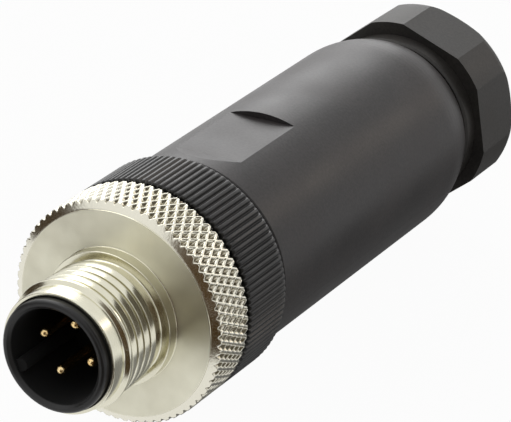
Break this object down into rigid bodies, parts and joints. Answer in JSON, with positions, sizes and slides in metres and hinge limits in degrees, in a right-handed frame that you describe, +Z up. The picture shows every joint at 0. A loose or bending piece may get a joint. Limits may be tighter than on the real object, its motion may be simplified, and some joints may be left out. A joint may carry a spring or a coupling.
{
  "type": "circular sensor cable connector",
  "caption": "Straight field-wireable circular male connector with knurled coupling screw, pin contacts in a coded cup, ribbed grip ring, plastic housing and hexagonal cable gland.",
  "frame": {"origin": "on the connector's axis, at the middle of the coupling thread", "axes": "+Y along the axis from the mating face to the cable entry, +Z up with the connector lying on one flat of its gland nut, +X to the right seen from the mating face"},
  "size_m": [0.0208, 0.0681, 0.0208],
  "materials": {
    "black_plastic": "black moulded polyamide, satin",
    "housing_plastic": "black moulded polyamide, fine matt grain",
    "block_plastic": "dark moulded plastic, matt",
    "gold_contact": "gold-plated turned brass",
    "screw_steel": "zinc-plated steel",
    "nickel_brass": "nickel-plated brass, turned, diamond-knurled head",
    "seal_rubber": "black rubber"
  },
  "bodies": {
    "insert": {"contact_carrier": "black_plastic", "terminal_block": "block_plastic", "contact_1": "gold_contact", "contact_2": "gold_contact", "contact_3": "gold_contact", "contact_4": "gold_contact", "terminal_screw_1": "screw_steel", "terminal_screw_2": "screw_steel", "terminal_screw_3": "screw_steel", "terminal_screw_4": "screw_steel", "retaining_ring": "screw_steel", "housing_gasket": "seal_rubber"},
    "coupling": {"coupling_screw": "nickel_brass"},
    "bush": {"cable_seal": "seal_rubber"},
    "shell": {"housing": "housing_plastic"},
    "cage": {"clamping_cage": "block_plastic"},
    "nut": {"gland_nut": "housing_plastic"}
  },
  "joints": [
    {"name": "coupling_spin", "type": "hinge", "parent": "insert", "child": "coupling", "pos_m": [0, 0.004, 0], "axis": [0, 1, 0], "continuous": true},
    {"name": "housing_travel", "type": "slide", "parent": "insert", "child": "bush", "axis": [0, 1, 0], "range_m": [0, 0.006]},
    {"name": "housing_turn", "type": "hinge", "parent": "bush", "child": "shell", "pos_m": [0, 0.03, 0], "axis": [0, 1, 0], "range_deg": [0, 1440]},
    {"name": "gland_travel", "type": "slide", "parent": "shell", "child": "cage", "axis": [0, 1, 0], "range_m": [-0.0008, 0.003]},
    {"name": "gland_turn", "type": "hinge", "parent": "cage", "child": "nut", "pos_m": [0, 0.056, 0], "axis": [0, 1, 0], "range_deg": [-192, 720]}
  ],
  "couplings": [
    {"joint": "housing_turn", "follows": "housing_travel", "rad_per_m": 4188.8},
    {"joint": "gland_turn", "follows": "gland_travel", "rad_per_m": 4188.8}
  ]
}
